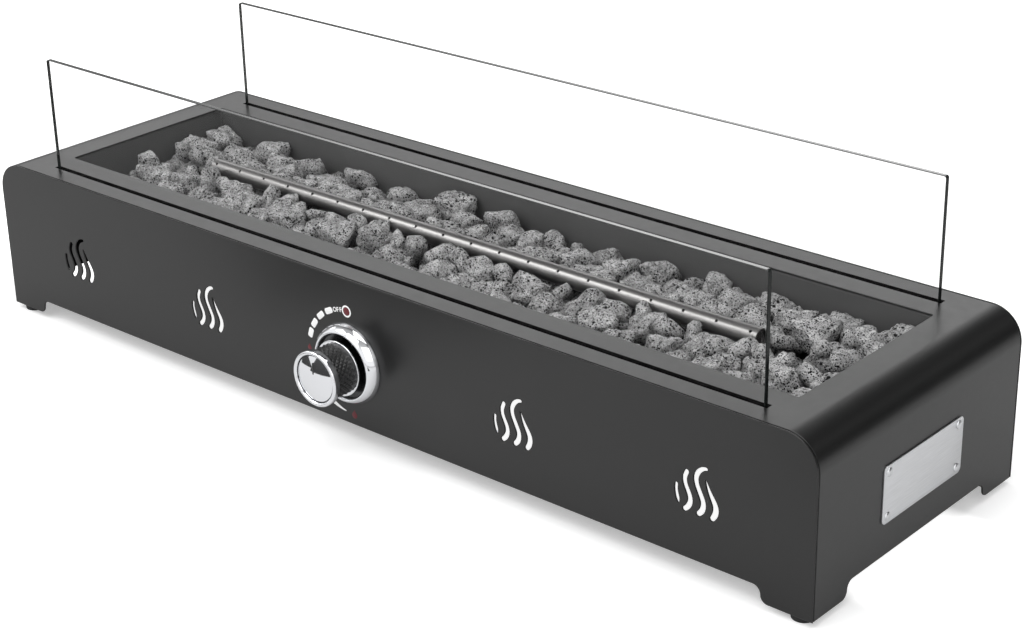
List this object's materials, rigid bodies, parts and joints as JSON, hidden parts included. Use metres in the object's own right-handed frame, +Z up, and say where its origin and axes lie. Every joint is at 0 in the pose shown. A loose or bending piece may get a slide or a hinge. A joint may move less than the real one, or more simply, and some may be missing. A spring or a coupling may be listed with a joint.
{
  "type": "tabletop gas fire pit",
  "caption": "Long low tabletop gas fire pit: folded steel casing with glass wind guards, lava rock, straight burner and a push-and-turn knob.",
  "frame": {"origin": "middle of the whole footprint, on the table under the rubber feet", "axes": "+X along the casing towards the end with the plate, -Y towards the side with the knob, +Z up"},
  "size_m": [0.8324, 0.3184, 0.2305],
  "materials": {
    "powder_coat": "satin fine-textured charcoal powder coat",
    "pan_coat": "matt dark heat-proof coat",
    "zinc_steel": "zinc-plated steel",
    "stainless": "drawn stainless steel",
    "cap_steel": "dark pressed steel caps",
    "pipe_aluminium": "drawn aluminium pipe",
    "brass": "machined brass",
    "foot_rubber": "moulded black rubber",
    "clear_glass": "clear tempered glass",
    "chrome": "bright chrome plate",
    "grip_plastic": "black moulded plastic with a diamond knurl",
    "plate_aluminium": "brushed aluminium",
    "lava_rock": "porous grey lava rock"
  },
  "bodies": {
    "casing": {"wrap_cover": "powder_coat", "front_panel": "powder_coat", "rear_panel": "powder_coat", "corner_brackets": "pan_coat", "rubber_feet": "foot_rubber", "foot_screws": "zinc_steel", "foot_nuts": "zinc_steel", "fire_pan": "pan_coat", "pan_studs": "zinc_steel", "pan_nuts": "zinc_steel", "glass_channel_front": "pan_coat", "glass_channel_rear": "pan_coat", "channel_studs": "zinc_steel", "channel_nuts": "zinc_steel", "burner_tube": "stainless", "burner_end_caps": "cap_steel", "burner_brackets": "stainless", "bracket_screws": "zinc_steel", "bracket_nuts": "zinc_steel", "burner_inlet": "stainless", "inlet_locknut": "zinc_steel", "air_mixer": "brass", "gas_orifice": "brass", "feed_pipe": "pipe_aluminium", "supply_pipe": "pipe_aluminium", "pipe_nuts": "brass", "valve_body": "brass", "return_spring": "stainless", "valve_plate": "zinc_steel", "valve_screws": "zinc_steel", "bezel_screws": "zinc_steel", "inlet_fitting": "brass", "inlet_nut": "brass", "knob_bezel": "chrome", "side_plate": "plate_aluminium", "plate_rivets": "plate_aluminium", "lava_rock_1": "lava_rock", "lava_rock_2": "lava_rock", "lava_rock_3": "lava_rock", "lava_rock_4": "lava_rock", "lava_rock_5": "lava_rock"},
    "knob_slider": {"spring_seat": "brass"},
    "knob": {"valve_stem": "stainless", "knob_ring": "chrome", "knob_grip": "grip_plastic", "knob_cap": "chrome"},
    "front_glass": {"glass_front": "clear_glass"},
    "rear_glass": {"glass_rear": "clear_glass"}
  },
  "joints": [
    {"name": "knob_push", "type": "slide", "parent": "casing", "child": "knob_slider", "axis": [0, 1, 0], "range_m": [0, 0.0055], "stiffness_N_per_m": 600, "springref_m": -0.005, "deforming": ["return_spring"]},
    {"name": "knob_turn", "type": "hinge", "parent": "knob_slider", "child": "knob", "pos_m": [-0.00125, -0.14385, 0.068], "axis": [0, -1, 0], "range_deg": [0, 180]},
    {"name": "front_glass_lift", "type": "slide", "parent": "casing", "child": "front_glass", "axis": [0, 0, 1], "range_m": [0, 0.02]},
    {"name": "rear_glass_lift", "type": "slide", "parent": "casing", "child": "rear_glass", "axis": [0, 0, 1], "range_m": [0, 0.02]}
  ]
}
